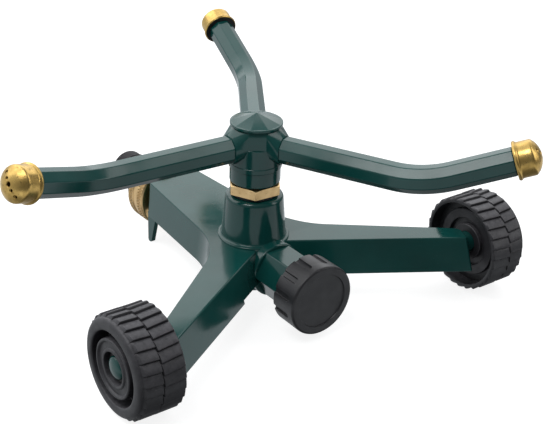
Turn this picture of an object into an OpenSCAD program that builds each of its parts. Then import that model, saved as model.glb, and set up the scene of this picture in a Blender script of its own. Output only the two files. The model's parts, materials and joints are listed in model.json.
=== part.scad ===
// Three-arm rotary lawn sprinkler on a wheeled cast base, in millimetres.
// Every shape is laid out about the spin axis: +X to the spare hose outlet, +Z up, ground at
// z = 0. place() then moves it so that the origin is the bottom centre of the whole machine.

/* [Placement] */
// Distance in X from the bottom centre of the whole machine to the spin axis
spin_x = 4; // [0:0.1:10]
// Distance in Y from the bottom centre of the whole machine to the spin axis
spin_y = 12; // [5:0.1:20]

/* [Base casting] */
// Height of the top of the front legs
deck_z = 34.5; // [32:0.5:37]
// Rise of the deck from the front corner to the rear end
deck_rise = 2.3; // [0:0.1:4]
// Height of the lower rim of the legs
shell_z = 16; // [14:0.5:19]
// Thickness of the casting's walls
wall = 3.2; // [2.4:0.1:4]
// Outward lean of the side walls, per millimetre of depth
side_draft = 0.24; // [0.1:0.02:0.25]
// X of the rear end face of the rear leg
rear_x = -80; // [-84:1:-76]
// Half width of the rear leg at its end
rear_half = 15.6; // [14:0.1:17]
// X of the wheels' axle line
axle_x = 58.3; // [56:0.1:60]
// Radius of the tower at its top
tower_top_r = 15.4; // [15:0.1:16]
// Height of the tower's top face
tower_top_z = 59.2; // [57:0.1:60]

/* [Wheels] */
// Outer radius of a wheel over its lugs
wheel_r = 26; // [25:0.5:27]
// Width of a wheel
wheel_w = 24.5; // [24:0.5:25]
// Distance from the centre line to a wheel's outer face
wheel_out_y = 121.2; // [121:0.1:123]
// Radius of the stub axle
axle_r = 5.8; // [5:0.1:6.4]
// Number of lugs round each row of the tread
lugs = 28; // [20:2:36]

/* [Hose fittings] */
// Height of the hose inlet and outlet axis
hose_z = 22.5; // [22:0.5:23]
// Outer radius of the outlet cap
cap_r = 19; // [18:0.5:19.5]
// X of the outlet cap's front face
cap_face_x = 59.8; // [59:0.1:61]
// Outer radius of the swivel coupling
coupling_r = 19.2; // [18:0.1:19.5]
// Radius of a garden-hose thread, drawn as a plain cylinder
thread_r = 13.4; // [13:0.1:13.6]
// Distance that a hose thread advances in one turn (11.5 threads an inch)
thread_pitch = 2.209; // [2:0.001:2.3]
// X of the tip of the hose adaptor
adaptor_tip_x = -130.4; // [-132:0.1:-128]

/* [Rotor] */
// Height of the three arms' axes
arm_z = 87; // [86.5:0.1:87.5]
// Direction of the first arm about the spin axis, in degrees
arm_turn = 26.4; // [0:0.1:119]
// Distance from the spin axis to the corner of an arm's bend
bend_at = 91.6; // [85:0.1:95]
// Length of an arm's tip, from the corner to the rim of its nozzle cap
tip_len = 46.4; // [44:0.1:52]
// Sideways turn of an arm's tip, in degrees
tip_turn = 21.7; // [18:0.1:28]
// Upward tilt of an arm's tip, in degrees
tip_rise = 19.2; // [12:0.1:25]
// Distance across the flats of the octagonal arm
arm_flats = 13.5; // [12.8:0.1:13.8]
// Radius of the middle line of the arm's bend
bend_r = 60; // [40:1:70]

/* [Nozzle caps] */
// Radius of a nozzle cap's rim
rim_r = 9.75; // [9:0.05:10.5]
// Radius of the middle nozzle hole
main_jet_r = 1.1; // [0.8:0.1:1.3]
// Radius of the four outer nozzle holes
side_jet_r = 0.65; // [0.4:0.05:0.9]
// Distance between neighbouring nozzle holes
jet_step = 3.1; // [2.6:0.1:3.3]

/* [Hidden] */
$fn = 48;

enamel = "#123f38";
brass = "#c79a4b";
black_plastic = "#242428";
black_rubber = "#151515";
white_nylon = "#e8e4d8";
spring_steel = "#8b8e92";

// Radial gap of a part that turns in or on another
run_gap = 0.06;
// Gap between faces that only meet
face_gap = 0.05;
// Small overlap that keeps joined shapes and cutters from sharing a face
eps = 0.4;

// ---- base casting -------------------------------------------------------------------------

// The plan of the legs at deck height, as straight edges run anticlockwise. Each edge is a
// point on it, its direction in degrees, and the share of the side draft that it takes.
leg_front_edge = [[61.4, 84.5], 58.8, 1];
leg_end_edge = [[62.3, 95], 158, 0.68];
leg_rear_edge = [[46.5, 84.2], 232.8, 0.5];
rear_side_edge = [[rear_x, rear_half], 185.6, 0.3];
rear_end_edge = [[rear_x, 0], 270, 0.15];
// Radii of the corners between those edges
corner_r = [1.2, 4, 46, 3];
edge_round = 1;
round_steps = 3;
arc_steps = 10;

hub_r = 19;
hub_z = 10;
water_r = 7;
water_wall_r = 11.5;
chamber_r = 10;
chamber_z = 41;
stem_thread_r = 8.6;
stem_depth = 14;
neck_r = 14.2;
collar_r = 14.8;
collar_end_x = 22;
neck_end_x = 43;
spigot_end_x = 54.6;
axle_z = wheel_r;
// Rise of the legs' lower rim beside the hub
rim_step = 2.4;
axle_root_y = 93;
prong_foot = 1;
prong_soft = 1.2;
prong_thick = 2.6;
prong_y = 15.6;
prong_root = 2;

function flip(points) = [for (i = [len(points) - 1:-1:0]) [points[i][0], -points[i][1]]];
function shift(edge, out) =
    [edge[0] + out * edge[2] * [sin(edge[1]), -cos(edge[1])], edge[1], edge[2]];
function crossing(a, b) =
    let (da = [cos(a[1]), sin(a[1])], db = [cos(b[1]), sin(b[1])], gap = b[0] - a[0])
    a[0] + da * (gap[0] * db[1] - gap[1] * db[0]) / (da[0] * db[1] - da[1] * db[0]);

// Arc of radius r that rounds the corner between two edges
function corner(a, b, r) =
    let (turn = b[1] - a[1], s = sign(turn), back = r * tan(abs(turn) / 2),
         centre = crossing(a, b) - back * [cos(a[1]), sin(a[1])]
             + s * r * [-sin(a[1]), cos(a[1])])
    [for (i = [0:arc_steps]) let (t = a[1] + turn * i / arc_steps)
        centre + s * r * [sin(t), -cos(t)]];

// Plan of the legs, moved outward from the deck outline by out
function plan(out) =
    let (edges = [for (e = [leg_front_edge, leg_end_edge, leg_rear_edge, rear_side_edge,
                            rear_end_edge]) shift(e, out)],
         half = [for (i = [0:3]) each corner(edges[i], edges[i + 1], corner_r[i])],
         tip = crossing(edges[0], [[0, 0], 0, 1]))
    concat([tip], half, flip(half));

// Solid whose cross-sections are rings of equal numbers of points, from the bottom up. Each
// end is a fan of triangles from the ring's first point, which sees all the others.
module loft(rings) {
    n = len(rings[0]);
    last = len(rings) - 1;
    sides = [for (k = [0:last - 1], i = [0:n - 1])
        [k * n + i, (k + 1) * n + i, (k + 1) * n + (i + 1) % n, k * n + (i + 1) % n]];
    bottom = [for (i = [1:n - 2]) [0, i, i + 1]];
    top = [for (i = [1:n - 2]) [last * n, last * n + i + 1, last * n + i]];
    polyhedron([for (ring = rings) each ring], concat(bottom, sides, top), convexity = 8);
}
// Extra height of the deck at x: none on the front legs, then growing evenly to the rear end
tip_x = plan(0)[0][0];
function rise(x) = deck_rise * max(0, tip_x - x) / (tip_x - rear_x);
// Ring of the plan at height z, following the deck's rise if tilted is 1
function level(out, z, tilted = 0) =
    [for (p = plan(out)) [p[0], p[1], z + tilted * rise(p[0])]];

module leg_shell() {
    flank = deck_z - edge_round;
    loft(concat(
        [level(side_draft * (deck_z - shell_z), shell_z)],
        [for (i = [0:round_steps]) let (t = 90 * i / round_steps)
            level(side_draft * edge_round * (1 - sin(t)) - edge_round * (1 - cos(t)),
                  flank + edge_round * sin(t), 1)]));
}

module leg_hollow() {
    roof = deck_z - wall;
    low = shell_z - 2;
    loft([level(side_draft * (deck_z - low) - wall, low),
          level(side_draft * wall - wall, roof, 1)]);
}

module tower() {
    foot_r = tower_top_r + 1.7;
    rotate_extrude($fn = 96) polygon(concat(
        [[0, hub_z], [hub_r - 1, hub_z], [hub_r, hub_z + 1], [hub_r, deck_z - 1],
         [hub_r - 0.3, deck_z + 0.6]],
        [for (t = [0:15:75]) [foot_r + 1.5 - 1.5 * sin(t), deck_z + 2.2 - 1.5 * cos(t)]],
        [[foot_r, deck_z + 3]],
        [for (t = [0:15:90]) [tower_top_r - 2.4 * (1 - cos(t)), tower_top_z - 2.4 * (1 - sin(t))]],
        [[0, tower_top_z]]));
}

module along_x(x, z) translate([x, 0, z]) rotate([0, 90, 0]) children();

module axle(side) {
    dome = 2.2;
    groove_y = wheel_out_y - 3.6;
    translate([axle_x, 0, axle_z]) rotate([-90 * side, 0, 0])
        rotate_extrude() polygon(concat(
            [[0, axle_root_y], [axle_r, axle_root_y],
             [axle_r, groove_y - 0.6], [axle_r - 0.7, groove_y - 0.6],
             [axle_r - 0.7, groove_y + 0.6], [axle_r, groove_y + 0.6]],
            [for (t = [0:15:90]) [axle_r * cos(t), wheel_out_y - 2.6 + dome * sin(t)]]));
}

// Blunt tongue that props the rear leg off the ground
module prong(side) {
    top_z = shell_z + prong_root;
    foot_x = rear_x + 2.5;
    rim_out = side_draft * (deck_z - shell_z);
    intersection() {
        translate([0, side * prong_y + prong_thick / 2, 0]) rotate([90, 0, 0])
            linear_extrude(prong_thick) polygon(concat(
                [[rear_x + 9.4, top_z], [rear_x - 1, top_z]],
                [for (t = [0:30:90]) [foot_x - prong_soft * cos(t), prong_soft * (1 - sin(t))]],
                [for (t = [90:-30:0])
                    [foot_x + prong_foot + prong_soft * cos(t), prong_soft * (1 - sin(t))]]));
        loft([level(rim_out - 0.15, -1), level(rim_out - 0.15, top_z + 1)]);
    }
}

module base_solid() {
    difference() {
        leg_shell();
        leg_hollow();
        for (side = [-1, 1]) translate([22, side * 20, shell_z - 1]) cylinder(r = 13, h = rim_step + 1);
    }
    tower();
    along_x(rear_x + 1, hose_z) cylinder(r = water_wall_r, h = -rear_x);
    along_x(0, hose_z) {
        cylinder(r = collar_r, h = collar_end_x);
        rotate([0, 0, 30]) cylinder(r = neck_r, h = neck_end_x, $fn = 6);
    }
    along_x(neck_end_x - eps, hose_z)
        cylinder(r = thread_r - run_gap, h = spigot_end_x - neck_end_x + eps);
    for (side = [-1, 1]) {
        axle(side);
        prong(side);
    }
}

module base_casting() {
    color(enamel) place() difference() {
        base_solid();
        along_x(rear_x - 1, hose_z) cylinder(r = stem_thread_r, h = stem_depth + 1);
        along_x(rear_x - 1, hose_z) cylinder(r = stem_flange_r + 0.6, h = 1);
        along_x(rear_x, hose_z) cylinder(r = water_r, h = spigot_end_x - rear_x + 1);
        translate([0, 0, hose_z]) cylinder(r = water_r + 1, h = chamber_z - hose_z + 1);
        translate([0, 0, chamber_z]) cylinder(r = chamber_r, h = tower_top_z - chamber_z + 1);
    }
}

// ---- bearing --------------------------------------------------------------------------------

nut_flats = 25.4;
nut_turn = -33.5;
nut_z = 61;
nut_top_z = 66.4;
nut_tail_z = 48;
spindle_r = 6.5;
spindle_bore_r = 4.2;
spindle_top_z = 80.5;
flange_r = 8.6;
flange_z = 43.5;
flange_h = 3;
thrust_z = flange_z + flange_h + face_gap;

module bearing_nut() {
    hex_r = nut_flats / 2 / cos(30);
    chamfer = 0.9;
    color(brass) place() difference() {
        union() {
            intersection() {
                translate([0, 0, nut_z]) rotate([0, 0, nut_turn])
                    cylinder(r = hex_r, h = nut_top_z - nut_z, $fn = 6);
                rotate_extrude($fn = 96) polygon([
                    [0, nut_z - 1], [hex_r + 1, nut_z - 1], [hex_r + 1, nut_top_z - chamfer],
                    [nut_flats / 2 + 0.2, nut_top_z + 0.1], [0, nut_top_z + 0.1]]);
            }
            translate([0, 0, nut_tail_z])
                cylinder(r = chamber_r - 0.03, h = nut_z - nut_tail_z + eps);
        }
        translate([0, 0, nut_tail_z - 1])
            cylinder(r = spindle_r + run_gap, h = nut_top_z - nut_tail_z + 2);
    }
}

module bearing_gasket() {
    color(black_rubber) place() translate([0, 0, tower_top_z + face_gap])
        ring(chamber_r + 0.1, 12.1, nut_z - tower_top_z - 2 * face_gap);
}

module thrust_washer() {
    color(white_nylon) place() translate([0, 0, thrust_z])
        ring(spindle_r + run_gap, chamber_r - 0.3, nut_tail_z - thrust_z - face_gap);
}

module spindle() {
    color(brass) place() difference() {
        union() {
            translate([0, 0, flange_z]) cylinder(r = spindle_r, h = spindle_top_z - flange_z);
            translate([0, 0, flange_z]) cylinder(r = flange_r, h = flange_h);
        }
        translate([0, 0, flange_z - 1])
            cylinder(r = spindle_bore_r, h = spindle_top_z - flange_z + 2);
    }
}

module ring(inner, outer, height) {
    difference() {
        cylinder(r = outer, h = height);
        translate([0, 0, -1]) cylinder(r = inner, h = height + 2);
    }
}

// ---- hose inlet -----------------------------------------------------------------------------

stem_neck_r = 9;
stem_flange_r = 11;
stem_bore_r = 6;
coupling_x = rear_x - 3;
coupling_end_x = -97;
coupling_back = 3.4;
stem_flange_x = coupling_x - coupling_back - face_gap;
stem_end_x = stem_flange_x - 2.2;
washer_x = stem_end_x - face_gap;
washer_h = 2;
filter_x = washer_x - washer_h - face_gap;
filter_h = 0.5;
adaptor_thread_x = filter_x - filter_h - face_gap;
adaptor_r = 10.4;
adaptor_bore_r = 5.5;
o_ring_x = -121.5;
o_ring_r = 1.3;

// Outline of a turned part along -X: pairs of distance from the axis and X
module turned_back(outline)
    translate([0, 0, hose_z]) rotate([0, -90, 0]) rotate_extrude($fn = 72)
        polygon([for (p = outline) [p[0], -p[1]]]);

module inlet_stem() {
    color(brass) place() turned_back([
        [stem_bore_r, rear_x + stem_depth - 0.5], [stem_thread_r - 0.03, rear_x + stem_depth - 0.5],
        [stem_thread_r - 0.03, rear_x - face_gap], [stem_flange_r, rear_x - face_gap],
        [stem_flange_r, rear_x - 2], [stem_neck_r, rear_x - 2], [stem_neck_r, stem_flange_x],
        [stem_flange_r, stem_flange_x], [stem_flange_r, stem_end_x], [stem_bore_r, stem_end_x]]);
}

module inlet_coupling() {
    band = 4.6;
    sunk = 0.5;
    soft = 1.6;
    color(brass) place() turned_back([
        [stem_neck_r + run_gap, coupling_x], [coupling_r - soft, coupling_x],
        [coupling_r, coupling_x - soft], [coupling_r, coupling_x - band],
        [coupling_r - sunk, coupling_x - band - sunk],
        [coupling_r - sunk, coupling_end_x + band + sunk], [coupling_r, coupling_end_x + band],
        [coupling_r, coupling_end_x + 0.8], [coupling_r - 0.8, coupling_end_x],
        [thread_r, coupling_end_x], [thread_r, coupling_x - coupling_back],
        [stem_neck_r + run_gap, coupling_x - coupling_back]]);
}

module inlet_washer() {
    color(black_rubber) place() turned_back([
        [stem_bore_r + 0.3, washer_x], [thread_r - 0.1, washer_x],
        [thread_r - 0.1, washer_x - washer_h], [stem_bore_r + 0.3, washer_x - washer_h]]);
}

module inlet_filter() {
    mesh_r = 0.75;
    mesh_step = 2.2;
    color(spring_steel) place() along_x(filter_x - filter_h, hose_z) difference() {
        cylinder(r = thread_r - 0.3, h = filter_h);
        translate([0, 0, -1]) cylinder(r = mesh_r, h = filter_h + 2);
        for (turn = [1:2], i = [0:6 * turn - 1])
            rotate([0, 0, i * 60 / turn]) translate([turn * mesh_step, 0, -1])
                cylinder(r = mesh_r, h = filter_h + 2);
    }
}

module hose_adaptor() {
    shoulder_r = 16.6;
    seat = o_ring_r * 1.1;
    depth = 2 * o_ring_r - 0.6;
    guide_r = adaptor_r + 0.4;
    color(black_plastic) place() turned_back([
        [adaptor_bore_r, adaptor_thread_x], [thread_r - 0.05, adaptor_thread_x],
        [thread_r - 0.05, coupling_end_x - 0.3], [shoulder_r, coupling_end_x - 0.3],
        [shoulder_r, coupling_end_x - 4.5], [adaptor_r + 1.2, coupling_end_x - 6.5],
        [adaptor_r + 1.2, coupling_end_x - 9], [adaptor_r - 1, coupling_end_x - 11],
        [adaptor_r - 1, coupling_end_x - 15], [guide_r, coupling_end_x - 16.5],
        [guide_r, o_ring_x + seat], [adaptor_r - depth, o_ring_x + seat],
        [adaptor_r - depth, o_ring_x - seat], [adaptor_r, o_ring_x - seat],
        [adaptor_r, adaptor_tip_x + 1.4], [adaptor_r - 1.4, adaptor_tip_x],
        [adaptor_bore_r, adaptor_tip_x]]);
}

module adaptor_o_ring() {
    color(black_rubber) place() translate([o_ring_x, 0, hose_z]) rotate([0, 90, 0])
        rotate_extrude($fn = 72) translate([adaptor_r - o_ring_r + 0.65, 0])
            circle(r = o_ring_r, $fn = 24);
}

// ---- spare outlet ---------------------------------------------------------------------------

cap_len = 16.3;
cap_end_wall = 2.6;
cap_washer_h = 2.4;
cap_slots = 12;

module outlet_cap() {
    slot_w = 3;
    slot_depth = 1.3;
    disc_r = 0.77 * cap_r;
    disc_sunk = 0.75;
    slot_land = 4.4;
    soft = 1.6;
    back_x = cap_face_x - cap_len;
    color(black_plastic) place() difference() {
        along_x(0, hose_z) rotate_extrude($fn = 96) polygon(concat(
            [[thread_r, back_x], [cap_r - 0.5, back_x], [cap_r, back_x + 0.5]],
            [for (t = [0:15:90])
                [cap_r - soft * (1 - cos(t)), cap_face_x - soft * (1 - sin(t))]],
            [[disc_r, cap_face_x], [disc_r - 0.2, cap_face_x - disc_sunk],
             [0, cap_face_x - disc_sunk],
             [0, cap_face_x - cap_end_wall], [thread_r, cap_face_x - cap_end_wall]]));
        for (i = [0:cap_slots - 1]) translate([0, 0, hose_z])
            rotate([(i + 0.5) * 360 / cap_slots, 0, 0]) {
                translate([back_x - 1, -slot_w / 2, cap_r - slot_depth])
                    cube([cap_len - slot_land - slot_w / 2 + 1, slot_w, 4]);
                translate([cap_face_x - slot_land - slot_w / 2, 0, cap_r - slot_depth])
                    cylinder(r = slot_w / 2, h = 4, $fn = 24);
            }
    }
}

module outlet_cap_washer() {
    color(black_rubber) place()
        along_x(cap_face_x - cap_end_wall - face_gap - cap_washer_h, hose_z)
            ring(water_r, thread_r - 0.3, cap_washer_h);
}

// ---- wheels ---------------------------------------------------------------------------------

module wheel(side) {
    row_w = wheel_w / 2;
    lug_h = 1.4;
    groove = 1.4;
    drum_r = wheel_r - lug_h;
    shoulder = 2;
    // Profile across the wheel, from the inner face (0) to the outer face (wheel_w)
    profile = [
        [axle_r + run_gap, 4.8], [10, 4.8], [10, 7], [13.5, 7], [13.5, 4.8], [18.7, 4.8],
        [18.7, 7], [22.9, 7], [22.9, 0.8], [23.6, 0], [drum_r, 0],
        [drum_r, wheel_w - shoulder], [drum_r - 0.5, wheel_w - 0.7],
        [drum_r - 1.8, wheel_w], [19.2, wheel_w], [18.4, wheel_w - 0.8],
        [18.4, wheel_w - 9], [14.8, wheel_w - 9], [14.8, wheel_w - 0.8],
        [14.2, wheel_w - 0.3], [13.2, wheel_w - 0.3], [12.9, wheel_w - 1.3],
        [10, wheel_w - 1.3], [9.6, wheel_w - 0.6], [8.6, wheel_w - 0.6],
        [8.2, wheel_w - 1], [8.2, wheel_w - 4.6], [axle_r + run_gap, wheel_w - 4.6]];
    color(black_plastic) place() translate([axle_x, side * (wheel_out_y - wheel_w), axle_z])
        rotate([-90 * side, 0, 0]) {
            rotate_extrude($fn = 96) polygon(profile);
            for (row = [0:1]) translate([0, 0, row == 0 ? 0 : row_w])
                linear_extrude(row == 0 ? row_w : row_w - shoulder) difference() {
                    circle(r = wheel_r, $fn = 96);
                    circle(r = drum_r - 0.4, $fn = 96);
                    for (i = [0:lugs - 1]) rotate(side * (i + row / 2) * 360 / lugs + 90)
                        translate([drum_r, -groove / 2]) square([lug_h + 1, groove]);
                }
        }
}

module wheel_retainer(side) {
    retainer_h = 0.8;
    color(spring_steel) place() translate([axle_x, side * (wheel_out_y - 4), axle_z])
        rotate([-90 * side, 0, 0]) ring(axle_r - 0.65, 7.6, retainer_h);
}

module left_wheel() wheel(1);
module right_wheel() wheel(-1);
module left_wheel_retainer() wheel_retainer(1);
module right_wheel_retainer() wheel_retainer(-1);

// ---- rotor ----------------------------------------------------------------------------------

head_z = nut_top_z + 0.35;
barrel_r = 13.3;
belt_z = 75.2;
belt_top_z = 77.9;
body_r = 13.6;
crown_r = 13.57;
crown_z = 88.2;
facets = 9;
bevel_z = 95.2;
head_top_z = 98.1;
head_top_r = 12.6;
boss_flats = 14.7;
boss_reach = 16.4;
boss_roof_w = 8.8;
head_chamber_r = 6.9;
head_chamber_z = 81;
arm_root = 12.6;
arm_plug_r = 5.6;
arm_plug_from = 7.6;
arm_bore_r = 4.2;
cap_disc_r = 13.7;

module arm_direction(i) rotate([0, 0, arm_turn + i * 120]) children();
// Radius of an octagon's corners
function octagon_r(flats) = flats / 2 / cos(22.5);

// Octagonal bar along +X from x0 to x1, a flat on top
module octagon_bar(flats, x0, x1)
    translate([x0, 0, 0]) rotate([0, 90, 0]) rotate([0, 0, 22.5])
        cylinder(r = octagon_r(flats), h = x1 - x0, $fn = 8);

module rotor_head() {
    roof_reach = boss_reach - 0.05;
    roof_z = head_top_z - 0.03;
    color(enamel) place() difference() {
        union() {
            rotate_extrude($fn = 96) polygon([
                [0, head_z], [barrel_r - 0.5, head_z], [barrel_r, head_z + 0.5],
                [barrel_r, belt_z - 0.3], [barrel_r + 0.55, belt_z],
                [barrel_r + 0.55, belt_top_z - 0.25], [body_r, belt_top_z], [body_r, crown_z],
                [0, crown_z]]);
            rotate([0, 0, arm_turn]) translate([0, 0, crown_z - eps])
                cylinder(r = crown_r, h = bevel_z - crown_z + eps, $fn = facets);
            rotate([0, 0, arm_turn]) translate([0, 0, bevel_z])
                cylinder(r1 = crown_r, r2 = head_top_r, h = head_top_z - bevel_z, $fn = facets);
            for (i = [0:2]) arm_direction(i) {
                translate([0, 0, arm_z]) octagon_bar(boss_flats, 2, boss_reach);
                translate([0, boss_roof_w / 2, 0]) rotate([90, 0, 0])
                    linear_extrude(boss_roof_w) polygon([
                        [4, arm_z], [roof_reach, arm_z], [roof_reach, arm_z + boss_flats / 2 - 0.3],
                        [head_top_r + 0.4, roof_z], [4, roof_z]]);
            }
        }
        translate([0, 0, head_z - 1]) cylinder(r = spindle_r + 0.02, h = head_chamber_z - head_z + 1);
        translate([0, 0, head_chamber_z - eps])
            cylinder(r = head_chamber_r, h = head_top_z - head_chamber_z + 1);
        for (i = [0:2]) arm_direction(i) translate([0, 0, arm_z]) {
            rotate([0, 90, 0]) cylinder(r = arm_plug_r + 0.02, h = boss_reach + 1);
            octagon_bar(arm_flats + 0.05, arm_root - 0.05, boss_reach + 1);
        }
    }
}

module rotor_cap() {
    disc_z = head_top_z + face_gap;
    cone_z = 99.6;
    apex_z = 104;
    plug_z = 92;
    color(enamel) place() {
        translate([0, 0, plug_z]) cylinder(r = head_chamber_r - 0.03, h = cone_z - plug_z);
        translate([0, 0, disc_z]) cylinder(r = cap_disc_r, h = cone_z - disc_z, $fn = 96);
        rotate([0, 0, arm_turn]) translate([0, 0, cone_z - 0.01])
            cylinder(r1 = cap_disc_r - 0.4, r2 = 0.3, h = apex_z - cone_z, $fn = facets);
    }
}

// The bend leaves the level run by this angle, in a plane tilted by bend_tilt
tip_sin = sin(tip_rise);
tip_side = cos(tip_rise) * sin(tip_turn);
tip_ahead = cos(tip_rise) * cos(tip_turn);
bend_angle = acos(tip_ahead);
bend_tilt = atan2(tip_sin, tip_side);
bend_back = bend_r * tan(bend_angle / 2);
// The arm's shoulder ends this far short of the middle of the nozzle cap's rim
shoulder_back = 1.05;
spigot_r = 6.2;
spigot_past_rim = 6.4;
// The gasket lies in a shallow counterbore in the nozzle cap's mouth
gasket_seat = 0.8;
gasket_seat_r = 9.2;

// Moves a shape drawn along +X from the origin onto the arm's tip, starting at the corner
module on_tip() translate([bend_at, 0, arm_z]) rotate([bend_tilt, 0, 0])
    rotate([0, 0, bend_angle]) children();

// The run along an arm's middle line: level bar, bend and tip, of the given cross-section. The
// bend is a hair fuller than the straight runs, which end just inside it.
module arm_run(from, to) {
    lap = 0.4;
    swell = 1.005;
    translate([0, 0, arm_z]) rotate([bend_tilt, 0, 0]) {
        translate([from, 0, 0]) rotate([0, 90, 0]) rotate([0, 0, 90])
            linear_extrude(bend_at - bend_back + lap - from) children();
        translate([bend_at - bend_back, bend_r, 0]) rotate([0, 0, -90])
            rotate_extrude(angle = bend_angle) translate([bend_r, 0])
                mirror([1, 0]) scale(swell) children();
    }
    on_tip() translate([bend_back - lap, 0, 0]) rotate([0, 90, 0]) rotate([0, 0, 90])
        linear_extrude(to + lap - bend_back) children();
}

module arm_tube(i) {
    color(enamel) place() arm_direction(i) difference() {
        union() {
            arm_run(arm_root, tip_len - shoulder_back)
                rotate(22.5 - bend_tilt) circle(r = octagon_r(arm_flats), $fn = 8);
            translate([arm_plug_from, 0, arm_z]) rotate([0, 90, 0])
                cylinder(r = arm_plug_r, h = arm_root - arm_plug_from + eps);
            on_tip() translate([tip_len - shoulder_back - eps, 0, 0]) rotate([0, 90, 0])
                cylinder(r = spigot_r, h = shoulder_back + eps + spigot_past_rim);
        }
        arm_run(arm_plug_from - 1, tip_len + spigot_past_rim + 1) circle(r = arm_bore_r);
    }
}

module nozzle_cap(i) {
    rim_half = 1;
    body_r = 8.9;
    dome_from = 8;
    dome_h = 4.2;
    dome_r = (body_r * body_r + dome_h * dome_h) / 2 / dome_h;
    dome_angle = asin(body_r / dome_r);
    steps = 8;
    inside = spigot_past_rim + 1;
    jet_turn = 90;
    color(brass) place() arm_direction(i) on_tip() translate([tip_len, 0, 0])
        rotate([0, 90, 0]) difference() {
            rotate_extrude($fn = 72) polygon(concat(
                [[spigot_r + run_gap, gasket_seat], [gasket_seat_r, gasket_seat],
                 [gasket_seat_r, -rim_half], [rim_r - 0.3, -rim_half],
                 [rim_r, -rim_half + 0.3], [rim_r, rim_half - 0.6], [rim_r - 0.5, rim_half],
                 [body_r, rim_half + 0.3]],
                [for (k = [0:steps]) let (t = dome_angle * (1 - k / steps))
                    [dome_r * sin(t), dome_from + dome_h - dome_r * (1 - cos(t))]],
                [[0, inside + 1.2], [spigot_r - 1.5, inside + 0.6],
                 [spigot_r + run_gap, inside - 0.6]]));
            for (k = [-2:2]) rotate([0, 0, jet_turn]) translate([0, k * jet_step, 0])
                cylinder(r = k == 0 ? main_jet_r : side_jet_r, h = 20, $fn = 24);
        }
}

module nozzle_gasket(i) {
    color(black_rubber) place() arm_direction(i) on_tip()
        translate([tip_len - shoulder_back + face_gap, 0, 0]) rotate([0, 90, 0])
            ring(spigot_r + 0.02, gasket_seat_r - 0.25, shoulder_back + gasket_seat - 2 * face_gap);
}

module arm_tube_1() arm_tube(0);
module arm_tube_2() arm_tube(1);
module arm_tube_3() arm_tube(2);
module nozzle_cap_1() nozzle_cap(0);
module nozzle_cap_2() nozzle_cap(1);
module nozzle_cap_3() nozzle_cap(2);
module nozzle_gasket_1() nozzle_gasket(0);
module nozzle_gasket_2() nozzle_gasket(1);
module nozzle_gasket_3() nozzle_gasket(2);

module place() translate([spin_x, spin_y, 0]) children();

base_casting();
bearing_nut();
bearing_gasket();
thrust_washer();
inlet_stem();
inlet_coupling();
inlet_washer();
inlet_filter();
hose_adaptor();
adaptor_o_ring();
outlet_cap();
outlet_cap_washer();
left_wheel();
right_wheel();
left_wheel_retainer();
right_wheel_retainer();
spindle();
rotor_head();
rotor_cap();
arm_tube_1();
arm_tube_2();
arm_tube_3();
nozzle_cap_1();
nozzle_cap_2();
nozzle_cap_3();
nozzle_gasket_1();
nozzle_gasket_2();
nozzle_gasket_3();
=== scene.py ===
import json
import math

import bmesh
import bpy
from mathutils import Matrix, Vector


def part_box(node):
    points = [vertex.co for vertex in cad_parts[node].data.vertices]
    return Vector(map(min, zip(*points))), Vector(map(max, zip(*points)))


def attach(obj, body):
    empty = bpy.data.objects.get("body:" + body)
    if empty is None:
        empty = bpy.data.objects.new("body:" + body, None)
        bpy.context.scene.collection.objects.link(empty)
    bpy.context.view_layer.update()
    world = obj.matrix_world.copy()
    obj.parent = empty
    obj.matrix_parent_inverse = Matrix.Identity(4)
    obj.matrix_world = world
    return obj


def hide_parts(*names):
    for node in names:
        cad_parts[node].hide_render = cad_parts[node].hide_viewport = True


# Looks of a three-arm lawn sprinkler. Shapes are drawn in millimetres about the spin axis, +X to
# the spare outlet, ground at z = 0, and scaled to metres in the frame's own place by shape().

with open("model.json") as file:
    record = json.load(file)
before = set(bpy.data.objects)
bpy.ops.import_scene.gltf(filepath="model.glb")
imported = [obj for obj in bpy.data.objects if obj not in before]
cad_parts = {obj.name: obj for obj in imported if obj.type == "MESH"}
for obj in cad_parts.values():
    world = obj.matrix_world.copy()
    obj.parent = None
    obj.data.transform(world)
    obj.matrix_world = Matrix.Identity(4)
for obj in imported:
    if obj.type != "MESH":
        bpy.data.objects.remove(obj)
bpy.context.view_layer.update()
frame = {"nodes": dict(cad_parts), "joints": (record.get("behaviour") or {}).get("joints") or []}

MM = 0.001
JOINTS = {joint["name"]: joint for joint in frame["joints"]}
SPIN = Vector(JOINTS["rotor_spin"]["pos_m"])
HOME = Matrix.Translation((SPIN.x, SPIN.y, 0)) @ Matrix.Scale(MM, 4)


def node_span(node, axis):
    """Lowest and highest coordinate of a CAD node along an axis, in mm from the spin axis."""
    low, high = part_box(node)
    start = (SPIN.x, SPIN.y, 0)[axis]
    return (low[axis] - start) / MM, (high[axis] - start) / MM


# ---- outlines -------------------------------------------------------------------------------

def soften(points, radius, steps=4, closed=True):
    """Rounds an outline's corners. A point may carry its own radius as a third number."""
    outline = []
    count = len(points)
    for i, point in enumerate(points):
        here = Vector(point[:2])
        r = point[2] if len(point) > 2 else radius
        if r == 0 or (not closed and i in (0, count - 1)):
            outline.append(tuple(here))
            continue
        back = Vector(points[i - 1][:2]) - here
        ahead = Vector(points[(i + 1) % count][:2]) - here
        half = back.angle(ahead) / 2
        if half > math.radians(88):
            outline.append(tuple(here))
            continue
        reach = min(r / math.tan(half), 0.48 * back.length, 0.48 * ahead.length)
        r = reach * math.tan(half)
        back.normalize()
        ahead.normalize()
        centre = here + (back + ahead).normalized() * (r / math.sin(half))
        first = here + back * reach - centre
        last = here + ahead * reach - centre
        turn = math.pi - 2 * half
        for k in range(steps + 1):
            a = turn * k / steps
            spoke = (first * math.sin(turn - a) + last * math.sin(a)) / math.sin(turn)
            outline.append(tuple(centre + spoke))
    return outline


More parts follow.
